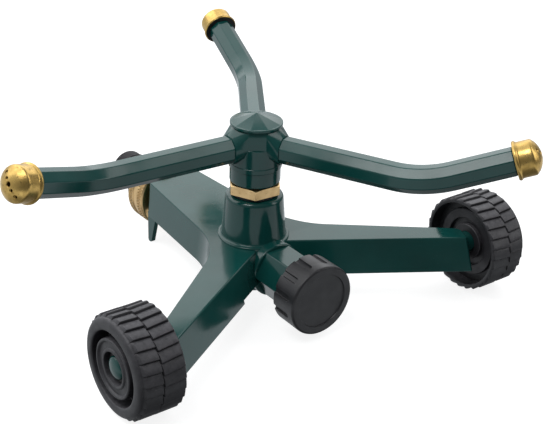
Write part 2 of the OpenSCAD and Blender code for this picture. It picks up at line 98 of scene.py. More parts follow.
def arc(cx, cy, r, start, end, steps):
    """Points of an arc, angles in degrees."""
    turns = [math.radians(start + (end - start) * k / steps) for k in range(steps + 1)]
    return [(cx + r * math.cos(t), cy + r * math.sin(t)) for t in turns]


def regular(sides, r, turn=0):
    """Corners of a regular polygon, the first at turn degrees."""
    return arc(0, 0, r, turn, turn + 360 * (sides - 1) / sides, sides - 1)


# ---- meshes ---------------------------------------------------------------------------------

def lathe(profile, segments=96):
    """Surface turned about local Z from a closed loop, or pole to pole, of (radius, height)."""
    verts, rings, faces = [], [], []
    for r, z in profile:
        first = len(verts)
        if r < 1e-6:
            verts.append((0, 0, z))
            rings.append([first] * segments)
            continue
        rings.append(list(range(first, first + segments)))
        for k in range(segments):
            a = 2 * math.pi * k / segments
            verts.append((r * math.cos(a), r * math.sin(a), z))
    for low, high in zip(rings, rings[1:] + rings[:1]):
        for k in range(segments):
            j = (k + 1) % segments
            face = tuple(dict.fromkeys((low[k], low[j], high[j], high[k])))
            if len(face) > 2:
                faces.append(face)
    return verts, faces


def loft(rings, fanned=False):
    """Closed solid through rings of equal numbers of points. Its ends are single flat faces, or
    fans of triangles from each end ring's first point."""
    size = len(rings[0])
    verts = [p for ring in rings for p in ring]
    faces = []
    for k in range(len(rings) - 1):
        for i in range(size):
            j = (i + 1) % size
            faces.append((k * size + i, k * size + j, (k + 1) * size + j, (k + 1) * size + i))
    last = (len(rings) - 1) * size
    if fanned:
        faces += [(0, i + 1, i) for i in range(1, size - 1)]
        faces += [(last, last + i, last + i + 1) for i in range(1, size - 1)]
    else:
        faces.append(tuple(range(size - 1, -1, -1)))
        faces.append(tuple(range(last, last + size)))
    return verts, faces


def bar(outline, low, high, soft=0.0, steps=3):
    """Straight prism of an outline along local Z, its two rims rounded by a small radius."""
    if soft <= 0:
        return loft([[(x, y, z) for x, y in outline] for z in (low, high)])
    rings = []
    for k in range(steps + 1):
        a = math.pi / 2 * k / steps
        rings.append((soft * (1 - math.sin(a)), low + soft * (1 - math.cos(a))))
    for k in range(steps + 1):
        a = math.pi / 2 * k / steps
        rings.append((soft * (1 - math.cos(a)), high - soft * (1 - math.sin(a))))
    reach = max(math.hypot(x, y) for x, y in outline)
    return loft([[(x * (1 - cut / reach), y * (1 - cut / reach), z) for x, y in outline]
                 for cut, z in rings])


def shape(name, verts, faces, place=None):
    """Object from local mm verts; place is where the local axes lie in the machine's frame."""
    mesh = bpy.data.meshes.new(name)
    mesh.from_pydata([tuple(v) for v in verts], [], faces)
    solid = bmesh.new()
    solid.from_mesh(mesh)
    bmesh.ops.transform(solid, matrix=HOME @ (place or Matrix()), verts=solid.verts)
    bmesh.ops.recalc_face_normals(solid, faces=solid.faces)
    solid.to_mesh(mesh)
    solid.free()
    thing = bpy.data.objects.new(name, mesh)
    bpy.context.scene.collection.objects.link(thing)
    return thing


def settle(thing):
    """Turns an object's modifiers into its mesh."""
    bpy.context.view_layer.update()
    seen = thing.evaluated_get(bpy.context.evaluated_depsgraph_get())
    mesh = bpy.data.meshes.new_from_object(seen)
    thing.modifiers.clear()
    thing.data = mesh


def combine(thing, others, how):
    """Joins, cuts or intersects an object with others, which are used up."""
    for other in others:
        step = thing.modifiers.new(how, "BOOLEAN")
        step.operation = how
        step.solver = "EXACT"
        step.object = other
    settle(thing)
    for other in others:
        bpy.data.objects.remove(other)
    return thing


def ease_edges(thing, width, angle=30, steps=3):
    """Rounds every edge sharper than angle degrees by width mm."""
    bevel = thing.modifiers.new("eased edges", "BEVEL")
    bevel.width = width * MM
    bevel.segments = steps
    bevel.limit_method = "ANGLE"
    bevel.angle_limit = math.radians(angle)
    bevel.miter_outer = "MITER_ARC"
    bevel.harden_normals = False
    settle(thing)


# Points nearer than this are one point; the coarse value is for pieces with wide rounded edges
WELD = 0.006 * MM
COARSE_WELD = 0.06 * MM


def heal(thing, weld):
    """Welds the slivers that cuts and rounding leave, and closes the cracks that remain."""
    mesh = bmesh.new()
    mesh.from_mesh(thing.data)
    bmesh.ops.remove_doubles(mesh, verts=mesh.verts, dist=weld)
    bmesh.ops.dissolve_degenerate(mesh, dist=weld, edges=mesh.edges)
    bmesh.ops.holes_fill(mesh, edges=[e for e in mesh.edges if e.is_boundary], sides=0)
    mesh.to_mesh(thing.data)
    mesh.free()


def smooth(thing, angle=30):
    """Smooth shading that keeps flats flat and edges over angle degrees crisp."""
    thing.data.shade_smooth()
    thing.data.set_sharp_from_angle(angle=math.radians(angle))
    weighted = thing.modifiers.new("weighted normals", "WEIGHTED_NORMAL")
    weighted.keep_sharp = True


def finish_piece(thing, body, look, replaced, angle=30, weld=WELD):
    """Gives a piece its look and body, and hides the CAD nodes it stands for."""
    heal(thing, weld)
    smooth(thing, angle)
    thing.data.materials.clear()
    thing.data.materials.append(look)
    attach(thing, body)
    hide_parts(*replaced)


def axes(origin, z_axis, x_axis):
    """Matrix that lays local Z along z_axis and local X as near as it can to x_axis."""
    z = Vector(z_axis).normalized()
    x = Vector(x_axis)
    x = (x - z * x.dot(z)).normalized()
    y = z.cross(x)
    rows = [(x[k], y[k], z[k], origin[k]) for k in range(3)]
    return Matrix((*rows, (0, 0, 0, 1)))


# ---- materials ------------------------------------------------------------------------------

class Look:
    """A material under construction: its nodes, links and main shader."""

    def __init__(self, name, **sockets):
        self.material = bpy.data.materials.new(name)
        self.material.use_nodes = True
        self.tree = self.material.node_tree
        self.shader = self.tree.nodes["Principled BSDF"]
        self.place = self.tree.nodes.new("ShaderNodeTexCoord").outputs["Object"]
        for socket, value in sockets.items():
            self.shader.inputs[socket.replace("_", " ")].default_value = value

    def node(self, kind, inputs=(), **settings):
        made = self.tree.nodes.new(kind)
        for key, value in settings.items():
            setattr(made, key, value)
        for key, value in dict(inputs).items():
            if isinstance(value, bpy.types.NodeSocket):
                self.tree.links.new(value, made.inputs[key])
            else:
                made.inputs[key].default_value = value
        return made

    def noise(self, size_mm, detail=2.0, rough=0.5, place=None):
        """Soft random field whose features are about size_mm across."""
        made = self.node("ShaderNodeTexNoise", {
            "Vector": place or self.place, "Scale": 1 / (size_mm * MM),
            "Detail": detail, "Roughness": rough})
        return made.outputs["Fac"]

    def specks(self, size_mm, place=None):
        """Distance to the nearest of many scattered points size_mm apart."""
        made = self.node("ShaderNodeTexVoronoi", {
            "Vector": place or self.place, "Scale": 1 / (size_mm * MM)})
        return made.outputs["Distance"]

    def steer(self, value, low, high, new_low=0.0, new_high=1.0):
        """Maps a value from one range to another, clamped."""
        made = self.node("ShaderNodeMapRange", {
            "Value": value, "From Min": low, "From Max": high,
            "To Min": new_low, "To Max": new_high})
        return made.outputs["Result"]

    def sum(self, how, a, b):
        made = self.node("ShaderNodeMath", {0: a, 1: b}, operation=how)
        return made.outputs[0]

    def blend(self, share, first, second):
        """Colour between two colours."""
        made = self.node("ShaderNodeMix", data_type="RGBA")
        for key, value in (("Factor", share), ("A", first), ("B", second)):
            socket = [s for s in made.inputs if s.name == key and (
                s.type == "RGBA" or key == "Factor" and s.type == "VALUE")][0]
            if isinstance(value, bpy.types.NodeSocket):
                self.tree.links.new(value, socket)
            else:
                socket.default_value = value
        return [s for s in made.outputs if s.type == "RGBA"][0]

    def wire(self, socket, value):
        self.tree.links.new(value, self.shader.inputs[socket])

    def bump(self, *layers):
        """Chains bumps given as (height, depth in mm, strength)."""
        normal = None
        for height, depth, strength in layers:
            made = self.node("ShaderNodeBump", {
                "Height": height, "Distance": depth * MM, "Strength": strength})
            if normal is not None:
                self.tree.links.new(normal, made.inputs["Normal"])
            normal = made.outputs["Normal"]
        self.wire("Normal", normal)
        return normal

    def stretched(self, sx, sy, sz):
        """Object coordinates scaled along each axis, for marks that run one way."""
        made = self.node("ShaderNodeMapping", {"Vector": self.place, "Scale": (sx, sy, sz)})
        return made.outputs["Vector"]


def enamel():
    """Thick glossy stoving enamel over a casting: deep green, with a faint orange peel."""
    look = Look("green enamel", Roughness=0.2, IOR=1.45)
    deep = (0.0040, 0.0500, 0.0440, 1)
    clear = (0.0060, 0.0660, 0.0590, 1)
    fleck = (0.030, 0.120, 0.105, 1)
    drift = look.steer(look.noise(38, 3), 0.35, 0.7)
    ground = look.blend(drift, deep, clear)
    grains = look.sum("MULTIPLY", look.steer(look.specks(0.9), 0.16, 0.05),
                      look.steer(look.noise(9, 2), 0.5, 0.66))
    look.wire("Base Color", look.blend(grains, ground, fleck))
    look.wire("Roughness", look.steer(look.noise(14, 4), 0.3, 0.75, 0.10, 0.22))
    look.bump((look.noise(3.2, 2), 0.25, 0.05), (look.noise(22, 2), 1.2, 0.035),
              (look.noise(0.5, 1), 0.05, 0.03))
    return look.material


def turned_brass(name, bright, dull, stain, rough, cover):
    """Machined brass that has started to darken, with fine scratches and stains."""
    look = Look(name, Metallic=1.0)
    cloud = look.steer(look.noise(4.5, 5, 0.62), 0.5 - cover, 0.5 + cover)
    ground = look.blend(cloud, bright, dull)
    spots = look.steer(look.noise(1.7, 4, 0.65), 0.60, 0.74)
    look.wire("Base Color", look.blend(spots, ground, stain))
    streaks = look.noise(0.35, 2, 0.5, look.stretched(1, 1, 0.25))
    wear = look.sum("ADD", look.steer(cloud, 0, 1, rough, rough + 0.16),
                    look.steer(streaks, 0.35, 0.75, -0.03, 0.06))
    look.wire("Roughness", wear)
    look.bump((streaks, 0.03, 0.12), (look.noise(1.6, 3), 0.10, 0.10))
    return look.material


def moulded_plastic(name, dark, pale, rough, grain_mm, grain_depth, dust, top_dust_and_light=0.0, ior=1.48):
    """Black moulded plastic: spark-eroded grain, slight flow marks, motes of dust, and a pale film on
    what faces up that is partly settled dust and partly painted top light."""
    look = Look(name, IOR=ior)
    ground = look.blend(look.steer(look.noise(9, 4), 0.3, 0.7), dark, pale)
    normal = look.node("ShaderNodeTexCoord").outputs["Normal"]
    facing = look.node("ShaderNodeSeparateXYZ", {"Vector": normal}).outputs["Z"]
    # Painted top light mixed with settled dust: faces that point up are blended toward a paler grey,
    # the sides stay dark
    dust_and_top_light = look.sum("MULTIPLY", look.steer(facing, 0.0, 0.9, 0, top_dust_and_light),
                    look.steer(look.noise(2.4, 5, 0.7), 0.32, 0.62, 0.35, 1))
    ground = look.blend(dust_and_top_light, ground, (0.115, 0.112, 0.122, 1))
    motes = look.sum("MULTIPLY", look.steer(look.specks(1.7), 0.10, 0.03),
                     look.steer(look.noise(6, 2), 0.52, 0.62))
    motes = look.sum("MULTIPLY", motes, dust)
    look.wire("Base Color", look.blend(motes, ground, (0.22, 0.22, 0.23, 1)))
    look.wire("Roughness", look.steer(look.noise(5, 4), 0.3, 0.7, rough - 0.05, rough + 0.09))
    look.bump((look.noise(grain_mm, 3, 0.6), grain_depth, 0.35), (look.noise(6, 2), 0.3, 0.05))
    return look.material


def soft_rubber():
    """Matte black rubber with a bloom."""
    look = Look("black rubber", IOR=1.45)
    bloom = look.steer(look.noise(2.5, 4), 0.35, 0.75)
    look.wire("Base Color", look.blend(bloom, (0.008, 0.008, 0.009, 1), (0.022, 0.022, 0.023, 1)))
    look.wire("Roughness", look.steer(bloom, 0, 1, 0.55, 0.75))
    look.bump((look.noise(0.4, 3), 0.05, 0.3))
    return look.material


def nylon():
    """Natural nylon, slightly yellow."""
    look = Look("natural nylon", IOR=1.53, Subsurface_Weight=0.1, Subsurface_Scale=0.001)
    look.wire("Base Color", look.blend(look.noise(3, 3), (0.70, 0.67, 0.60, 1),
                                       (0.80, 0.78, 0.72, 1)))
    look.wire("Roughness", look.steer(look.noise(1, 3), 0.3, 0.7, 0.38, 0.5))
    look.bump((look.noise(0.6, 3), 0.03, 0.2))
    return look.material


def steel(name, bright, dark, rough):
    """Rolled steel with fine marks from the mill."""
    look = Look(name, Metallic=1.0)
    look.wire("Base Color", look.blend(look.steer(look.noise(2, 4), 0.3, 0.7), bright, dark))
    marks = look.noise(0.2, 3, 0.5, look.stretched(1, 0.2, 1))
    look.wire("Roughness", look.steer(marks, 0.3, 0.7, rough, rough + 0.15))
    look.bump((marks, 0.02, 0.15))
    return look.material


ENAMEL = enamel()
AGED_BRASS = turned_brass("aged brass", (0.68, 0.455, 0.145, 1), (0.46, 0.30, 0.088, 1),
                          (0.15, 0.09, 0.030, 1), 0.24, 0.16)
BRIGHT_BRASS = turned_brass("clean brass", (0.76, 0.54, 0.28, 1), (0.64, 0.43, 0.20, 1),
                            (0.40, 0.26, 0.11, 1), 0.25, 0.3)
WHEEL_PLASTIC = moulded_plastic("wheel plastic", (0.0135, 0.0130, 0.0150, 1),
                                (0.0230, 0.0220, 0.0250, 1), 0.46, 0.45, 0.06, 0.8, 0.6, 1.42)
CAP_PLASTIC = moulded_plastic("cap plastic", (0.0125, 0.0120, 0.0140, 1),
                              (0.0200, 0.0195, 0.0220, 1), 0.38, 0.55, 0.05, 0.25)
ADAPTOR_PLASTIC = moulded_plastic("adaptor plastic", (0.0100, 0.0085, 0.0110, 1),
                                  (0.0150, 0.0130, 0.0165, 1), 0.50, 0.5, 0.05, 0.2, 0, 1.28)
RUBBER = soft_rubber()
NYLON = nylon()
FILTER_STEEL = steel("filter steel", (0.60, 0.60, 0.62, 1), (0.45, 0.45, 0.47, 1), 0.25)
BLACK_STEEL = steel("blackened steel", (0.055, 0.053, 0.052, 1), (0.03, 0.03, 0.03, 1), 0.35)


# ---- base casting ---------------------------------------------------------------------------

DECK_Z = 34.5
DECK_RISE = 2.3
RIM_Z = 16.0
RIM_STEP = 2.4
WALL = 3.2
DRAFT = 0.24
EDGE_R = 0.7
HUB_Z = 10.0
HUB_R = 19.0
HOSE_Z = JOINTS["inlet_swivel"]["pos_m"][2] / MM
REAR_X = -80.0
TOWER_R = 15.4
TOWER_Z = 59.2
WHEEL = Vector(JOINTS["left_wheel_spin"]["pos_m"]) / MM - Vector((SPIN.x, SPIN.y, 0)) / MM
AXLE_X, AXLE_Z = WHEEL.x, WHEEL.z
WHEEL_IN, WHEEL_OUT = node_span("left_wheel", 1)
AXLE_R = 5.8

# Straight edges of the legs' plan, anticlockwise: a point, a direction in degrees, and the share
# of the side walls' lean. The other half is its mirror image.
LEG_EDGES = [
    ((61.4, 84.5), 58.8, 1.0),
    ((62.3, 95.0), 158.0, 0.68),
    ((46.5, 84.2), 232.8, 0.5),
    ((REAR_X, 15.6), 185.6, 0.3),
    ((REAR_X, 0.0), 270.0, 0.15),
]
LEG_CORNERS = [1.2, 4.0, 46.0, 3.0]
CORNER_STEPS = [4, 6, 24, 5]


def moved_edge(edge, out):
    (x, y), turn, share = edge
    a = math.radians(turn)
    return Vector((x + out * share * math.sin(a), y - out * share * math.cos(a))), a


def crossing(first, second):
    (p, a), (q, b) = first, second
    u = Vector((math.cos(a), math.sin(a)))
    v = Vector((math.cos(b), math.sin(b)))
    gap = q - p
    return p + u * ((gap.x * v.y - gap.y * v.x) / (u.x * v.y - u.y * v.x))


def leg_plan(out):
    """Outline of the three legs, moved outward from the deck's outline by out mm."""
    edges = [moved_edge(edge, out) for edge in LEG_EDGES]
    tip = crossing(edges[0], (Vector((0, 0)), 0.0))
    half = []
    for k, r in enumerate(LEG_CORNERS):
        (_, a), (_, b) = edges[k], edges[k + 1]
        corner = crossing(edges[k], edges[k + 1])
        turn = b - a
        side = math.copysign(1, turn)
        back = r * math.tan(abs(turn) / 2)
        centre = (corner - back * Vector((math.cos(a), math.sin(a)))
                  + side * r * Vector((-math.sin(a), math.cos(a))))
        for i in range(CORNER_STEPS[k] + 1):
            t = a + turn * i / CORNER_STEPS[k]
            half.append(centre + side * r * Vector((math.sin(t), -math.cos(t))))
    return [tip, *half, *[Vector((p.x, -p.y)) for p in reversed(half)]]


TIP_X = leg_plan(0)[0].x


def leg_level(out, z, tilted=False):
    """The plan at height z. The deck is level on the front legs and rises evenly to the rear."""
    slope = DECK_RISE / (TIP_X - REAR_X) if tilted else 0.0
    return [(p.x, p.y, z + slope * max(0.0, TIP_X - p.x)) for p in leg_plan(out)]


def leg_shell():
    """The hollow legs as one closed skin, from the inner roof round the rim to the deck."""
    rings = [leg_level(DRAFT * WALL - WALL, DECK_Z - WALL, True)]
    lean = DRAFT * (DECK_Z - RIM_Z)
    lip = 0.6
    rings.append(leg_level(lean - WALL - DRAFT * lip, RIM_Z + lip))
    rings.append(leg_level(lean - WALL + lip, RIM_Z))
    rings.append(leg_level(lean - lip, RIM_Z))
    rings.append(leg_level(lean - 0.3 * lip, RIM_Z + 0.3 * lip))
    rings.append(leg_level(lean - DRAFT * lip, RIM_Z + lip))
    mid = (RIM_Z + DECK_Z) / 2
    rings.append(leg_level(DRAFT * (DECK_Z - mid), mid))
    steps = 6
    for k in range(steps + 1):
        t = math.pi / 2 * k / steps
        z = DECK_Z - EDGE_R + EDGE_R * math.sin(t)
        rings.append(leg_level(DRAFT * (DECK_Z - z) - EDGE_R * (1 - math.cos(t)), z, True))
    return loft(rings, fanned=True)


def tower_profile():
    """The hub under the deck, the ring at the tower's foot, and the slim conical tower."""
    foot_r = TOWER_R + 1.7
    profile = soften([(HUB_R - 1, HUB_Z), (HUB_R, HUB_Z + 1)], 0, closed=False)
    profile += arc(HUB_R - 0.9, DECK_Z + 0.3, 0.9, 0, 90, 6)
    profile += arc(foot_r + 1.4, DECK_Z + 2.6, 1.4, 270, 180, 8)
    profile += arc(TOWER_R - 2.4, TOWER_Z - 2.4, 2.4, 3, 90, 10)
    return [(0, HUB_Z), *profile, (0, TOWER_Z)]


PRONG_TOP = RIM_Z + 2
PRONG_Y = 15.6
PRONG_THICK = 2.6


def prong_outline():
    """A rear prong seen from the side: a tapering blunt tongue."""
    foot_x = REAR_X + 2.5
    soft = 1.2
    flat = 1.0
    return [(REAR_X + 9.4, PRONG_TOP), (REAR_X - 1, PRONG_TOP),
            *arc(foot_x, soft, soft, 180, 270, 6), *arc(foot_x + flat, soft, soft, 270, 360, 6)]


ALONG_X = axes((0, 0, HOSE_Z), (1, 0, 0), (0, 0, 1))
SPIGOT_END = 54.6
SPIGOT_R = 13.3
NECK_END = 43.0


def spigot_thread():
    """The spare outlet's hose thread: a helical ridge sunk into the spigot's skin."""
    pitch = 2.209
    root_r = SPIGOT_R - 1.1
    low, high = NECK_END + 0.6, SPIGOT_END - 1.0
    turns = (high - low) / pitch - 0.6
    per_turn = 48
    rings = []
    for k in range(int(turns * per_turn) + 1):
        a = 2 * math.pi * k / per_turn
        z = low + pitch * (k / per_turn + 0.3)
        grow = min(1, k / 24, (turns * per_turn - k) / 24)
        crest = root_r + 0.02 + (SPIGOT_R - root_r - 0.02) * max(grow, 0)
        rings.append([(r * math.cos(a), r * math.sin(a), z + dz * pitch)
                      for r, dz in ((root_r - 0.4, -0.44), (crest, -0.12), (crest, 0.12),
                                    (root_r - 0.4, 0.44))])
    return loft(rings)


def build_base():
    base = shape("base_body", *leg_shell())
    cuts = [shape("step", *lathe([(0, RIM_Z - 2), (13, RIM_Z - 2), (13, RIM_Z + RIM_STEP),
                                  (0, RIM_Z + RIM_STEP)], 48), Matrix.Translation((22, 20 * side, 0)))
            for side in (-1, 1)]
    combine(base, cuts, "DIFFERENCE")
    parts = [shape("tower", *lathe(tower_profile(), 128))]
    parts.append(shape("water_tube", *lathe([(0, REAR_X + 1), (11.5, REAR_X + 1), (11.5, 0), (0, 0)],
                                            64), ALONG_X))
    collar = soften([(0, 4), (14.8, 4), (14.8, 22, 1.1), (0, 22)], 0, 6, closed=False)
    parts.append(shape("collar", *lathe(collar, 96), ALONG_X))
    hexagon = soften(regular(6, 14.35, 30), 0.9, 4)
    parts.append(shape("neck", *bar(hexagon, 2, NECK_END, 0.5), ALONG_X))
    spigot = soften([(0, 40), (SPIGOT_R - 1.1, 40), (SPIGOT_R - 1.1, SPIGOT_END, 0.5),
                     (0, SPIGOT_END)], 0, 3, closed=False)
    parts.append(shape("spigot", *lathe(spigot, 96), ALONG_X))
    for side in (-1, 1):
        place = axes((0, side * PRONG_Y - PRONG_THICK / 2, 0), (0, 1, 0), (1, 0, 0))
        outline = [(x, -z) for x, z in prong_outline()]
        prong = shape("prong", *loft([[(x, z, h) for x, z in outline]
                                      for h in (0.0, PRONG_THICK)]), place)
        out = DRAFT * (DECK_Z - RIM_Z) - 0.15
        column = loft([leg_level(out, -1), leg_level(out, PRONG_TOP + 1)])
        parts.append(combine(prong, [shape("column", *column)], "INTERSECT"))
        place = axes((AXLE_X, 0, AXLE_Z), (0, side, 0), (1, 0, 0))
        end = WHEEL_OUT - 2.6
        groove = WHEEL_OUT - 3.6
        profile = [(0, 93), (AXLE_R, 93), (AXLE_R, groove - 0.6), (AXLE_R - 0.7, groove - 0.6),
                   (AXLE_R - 0.7, groove + 0.6), (AXLE_R, groove + 0.6)]
        profile += [(AXLE_R * math.cos(t), end + 2.2 * math.sin(t))
                    for t in [math.pi / 2 * k / 10 for k in range(11)]]
        profile[-1] = (0, end + 2.2)
        parts.append(shape("axle", *lathe(profile, 64), place))
    combine(base, parts, "UNION")
    bores = [
        shape("stem_bore", *lathe([(0, REAR_X - 1), (8.6, REAR_X - 1), (8.6, REAR_X + 14),
                                   (0, REAR_X + 14)], 64), ALONG_X),
        shape("spot_face", *lathe([(0, REAR_X - 1), (11.6, REAR_X - 1), (11.6, REAR_X),
                                   (0, REAR_X)], 64), ALONG_X),
        shape("water_bore", *lathe([(0, REAR_X), (7, REAR_X), (7, SPIGOT_END + 1),
                                    (0, SPIGOT_END + 1)], 64), ALONG_X),
        shape("riser", *lathe([(0, HOSE_Z), (8, HOSE_Z), (8, 42), (0, 42)], 64)),
        shape("chamber", *lathe([(0, 41), (10, 41), (10, TOWER_Z + 1), (0, TOWER_Z + 1)], 96)),
    ]
    combine(base, bores, "DIFFERENCE")
    combine(base, [shape("thread", *spigot_thread(), ALONG_X)], "UNION")
    finish_piece(base, "base", ENAMEL, ["base_casting"], 32)
    return base


build_base()


# ---- bearing --------------------------------------------------------------------------------

NUT_Z, NUT_TOP = 61.0, 66.4


def build_nut():
    corner_r = 12.7 / math.cos(math.radians(30))
    nut = shape("bearing_nut_body", *bar(soften(regular(6, corner_r, -33.5), 0.35, 2),
                                         NUT_Z, NUT_TOP))
    crown = lathe([(0, NUT_Z - 1), (corner_r - 0.9, NUT_Z - 1), (corner_r + 1.2, NUT_Z + 1.1),
                   (corner_r + 1.2, NUT_TOP - 1.1), (12.9, NUT_TOP + 0.05), (0, NUT_TOP + 0.05)], 96)
    combine(nut, [shape("crown", *crown)], "INTERSECT")
    tail = lathe([(0, 48), (9.95, 48), (9.95, NUT_Z + 0.3), (0, NUT_Z + 0.3)], 96)
    combine(nut, [shape("tail", *tail)], "UNION")
    bore = lathe([(0, 47), (6.56, 47), (6.56, 68), (0, 68)], 72)
    combine(nut, [shape("bore", *bore)], "DIFFERENCE")
    ease_edges(nut, 0.18, 25, 2)
    finish_piece(nut, "base", BRIGHT_BRASS, ["bearing_nut"], 35, COARSE_WELD)


def build_gasket():
    ring = soften([(10.1, 59.25), (12.3, 59.25), (12.3, 60.95), (10.1, 60.95)], 0.5, 4)
    finish_piece(shape("bearing_gasket_ring", *lathe(ring, 96)), "base",
                 RUBBER, ["bearing_gasket"])


build_nut()
build_gasket()


# ---- rotor ----------------------------------------------------------------------------------

ARM_Z = JOINTS["rotor_spin"]["pos_m"][2] / MM
TIPS = [JOINTS[f"nozzle_turn_{i}"] for i in (1, 2, 3)]
TIP_LEN = 46.4
BEND_R = 60.0
SHOULDER_BACK = 1.05
SPIGOT_PAST_RIM = 6.4
ARM_FLATS = 13.5
ARM_ROOT = 12.6
HEAD_Z = NUT_TOP + 0.35
HEAD_TOP = 98.1
HEAD_TOP_R = 12.6
BODY_R = 13.6
BOSS_FLATS = 14.7
SIDES = 9
BOSS_REACH = 16.4


class Arm:
    """One arm's middle line, worked out from its nozzle's joint."""

    def __init__(self, joint):
        rim = Vector(joint["pos_m"]) / MM - Vector((SPIN.x, SPIN.y, 0)) / MM
        self.tip_dir = Vector(joint["axis"]).normalized()
        self.rim = rim
        self.elbow = rim - self.tip_dir * TIP_LEN
        self.out = Vector((self.elbow.x, self.elbow.y, 0)).normalized()
        self.normal = self.out.cross(self.tip_dir).normalized()
        self.bend = self.out.angle(self.tip_dir)
        self.back = BEND_R * math.tan(self.bend / 2)
        self.tilt = math.asin(max(-1, min(1, self.normal.cross(self.out).z)))

    def stations(self, start, end):
        """Points and directions along the line, from start mm off the spin axis to end mm
        past the elbow."""
        centre = Vector((0, 0, ARM_Z))
        line = [(centre + self.out * start, self.out)]
        first = self.elbow - self.out * self.back
        side = self.normal.cross(self.out)
        steps = 20
        for k in range(steps + 1):
            t = self.bend * k / steps
            along = self.out * math.cos(t) + side * math.sin(t)
            spot = first + self.out * (BEND_R * math.sin(t)) + side * (BEND_R * (1 - math.cos(t)))
            line.append((spot, along))
        line.append((self.elbow + self.tip_dir * end, self.tip_dir))
        return line


ARMS = [Arm(joint) for joint in TIPS]


def tube_section(flats, turn, soft):
    """Octagon with softened corners, turned by an angle in radians."""
    corner_r = flats / 2 / math.cos(math.radians(22.5))
    octagon = soften(regular(8, corner_r, 22.5), soft, 3)
    c, s = math.cos(turn), math.sin(turn)
    return [(x * c - y * s, x * s + y * c) for x, y in octagon]


def build_arm(i, arm):
    name = f"arm_tube_{i + 1}"
    end = TIP_LEN - SHOULDER_BACK
    section = tube_section(ARM_FLATS, -arm.tilt, 1.1)
    rings = []
    line = arm.stations(ARM_ROOT, end - 0.5)
    line.append((arm.elbow + arm.tip_dir * end, arm.tip_dir))
    for k, (spot, along) in enumerate(line):
        side = arm.normal.cross(along)
        scale = 0.95 if k == len(line) - 1 else 1
        rings.append([spot + side * (a * scale) + arm.normal * (b * scale) for a, b in section])
    tube = shape(name + "_body", *loft(rings))
    place = axes(arm.elbow, arm.tip_dir, (0, 0, 1))
    spigot = soften([(0, end - 2), (6.2, end - 2), (6.2, TIP_LEN + SPIGOT_PAST_RIM, 0.5),
                     (0, TIP_LEN + SPIGOT_PAST_RIM)],
                    0, 3, closed=False)
    plug_place = axes((0, 0, ARM_Z), arm.out, (0, 0, 1))
    plug = lathe([(0, 7.6), (5.6, 7.6), (5.6, ARM_ROOT + 1), (0, ARM_ROOT + 1)], 48)
    combine(tube, [shape("spigot", *lathe(spigot, 64), place),
                   shape("plug", *plug, plug_place)], "UNION")
    bore = [(spot, along) for spot, along in arm.stations(6, TIP_LEN + 8)]
    ring = regular(32, 4.2)
    channel = [[spot + arm.normal.cross(along) * a + arm.normal * b for a, b in ring]
               for spot, along in bore]
    combine(tube, [shape("channel", *loft(channel))], "DIFFERENCE")
    finish_piece(tube, "rotor", ENAMEL, [name], 30)


CROWN_Z, BEVEL_Z = 88.2, 95.2
CROWN_INSET = 0.03


def hull(points):
    """Smallest convex solid round the points, as vertices and faces."""
    mesh = bmesh.new()
    for point in points:
        mesh.verts.new(point)
    made = bmesh.ops.convex_hull(mesh, input=mesh.verts)
    spare = {v for v in made["geom_interior"] + made["geom_unused"]
             if isinstance(v, bmesh.types.BMVert)}
    bmesh.ops.delete(mesh, geom=list(spare), context="VERTS")
    mesh.verts.index_update()
    found = ([tuple(v.co) for v in mesh.verts], [[v.index for v in f.verts] for f in mesh.faces])
    mesh.free()
    return found


def boss_corners():
    """Corners of the block round an arm's root: an octagon at its mouth, spreading into the three
    nearest corners of the crown. Local X runs out along the arm."""
    mouth = regular(8, BOSS_FLATS / 2 / math.cos(math.radians(22.5)), 22.5)
    corners = [(d, y, ARM_Z + h) for y, h in mouth for d in (4, BOSS_REACH - 0.02)]
    for a in (-360 / SIDES, 0, 360 / SIDES):
        for r, z in ((BODY_R, CROWN_Z), (BODY_R, BEVEL_Z), (HEAD_TOP_R, HEAD_TOP - 0.02)):
            corners.append(((r - CROWN_INSET) * math.cos(math.radians(a)),
                            (r - CROWN_INSET) * math.sin(math.radians(a)), z))
    return corners


def build_head():
    """The rotor's head: a turned barrel, the crown and the bosses, hollowed for spindle and arms."""
    turn = math.degrees(math.atan2(ARMS[0].out.y, ARMS[0].out.x))
    barrel = soften([(0, HEAD_Z), (13.3, HEAD_Z, 0.9), (13.3, 74.9, 0.15), (13.85, 75.2, 0.3),
                     (13.85, 77.65, 0.3), (BODY_R, 77.9, 0.15), (BODY_R, CROWN_Z, 0.3), (0, CROWN_Z)],
                    0, 4, closed=False)
    head = shape("rotor_head_body", *lathe(barrel, 128))
    nonagon = [regular(SIDES, r, turn) for r in (BODY_R, BODY_R, HEAD_TOP_R)]
    levels = (87, BEVEL_Z, HEAD_TOP)
    parts = [shape("crown", *loft([[(x, y, z) for x, y in ring]
                                   for ring, z in zip(nonagon, levels)]))]
    for arm in ARMS:
        place = axes((0, 0, 0), (0, 0, 1), arm.out)
        parts.append(shape("boss", *hull(boss_corners()), place))
    combine(head, parts, "UNION")
    cuts = [shape("shaft", *lathe([(0, HEAD_Z - 1), (6.52, HEAD_Z - 1), (6.52, 81), (0, 81)], 64)),
            shape("hollow", *lathe([(0, 80.6), (6.9, 80.6), (6.9, 99), (0, 99)], 64))]
    for arm in ARMS:
        place = axes((0, 0, ARM_Z), arm.out, (0, 0, 1))
        cuts.append(shape("port", *lathe([(0, 0), (5.62, 0), (5.62, 20), (0, 20)], 48), place))
        socket = tube_section(ARM_FLATS + 0.05, 0, 1.1)
        cuts.append(shape("socket", *loft([[(x, y, h) for x, y in socket]
                                           for h in (ARM_ROOT - 0.05, 20)]), place))
    combine(head, cuts, "DIFFERENCE")
    ease_edges(head, 0.22, 18, 2)
    finish_piece(head, "rotor", ENAMEL, ["rotor_head"], 32)
    return turn


# The pointed cap's facets stand this many degrees ahead of the crown's
CAP_TURN = 5


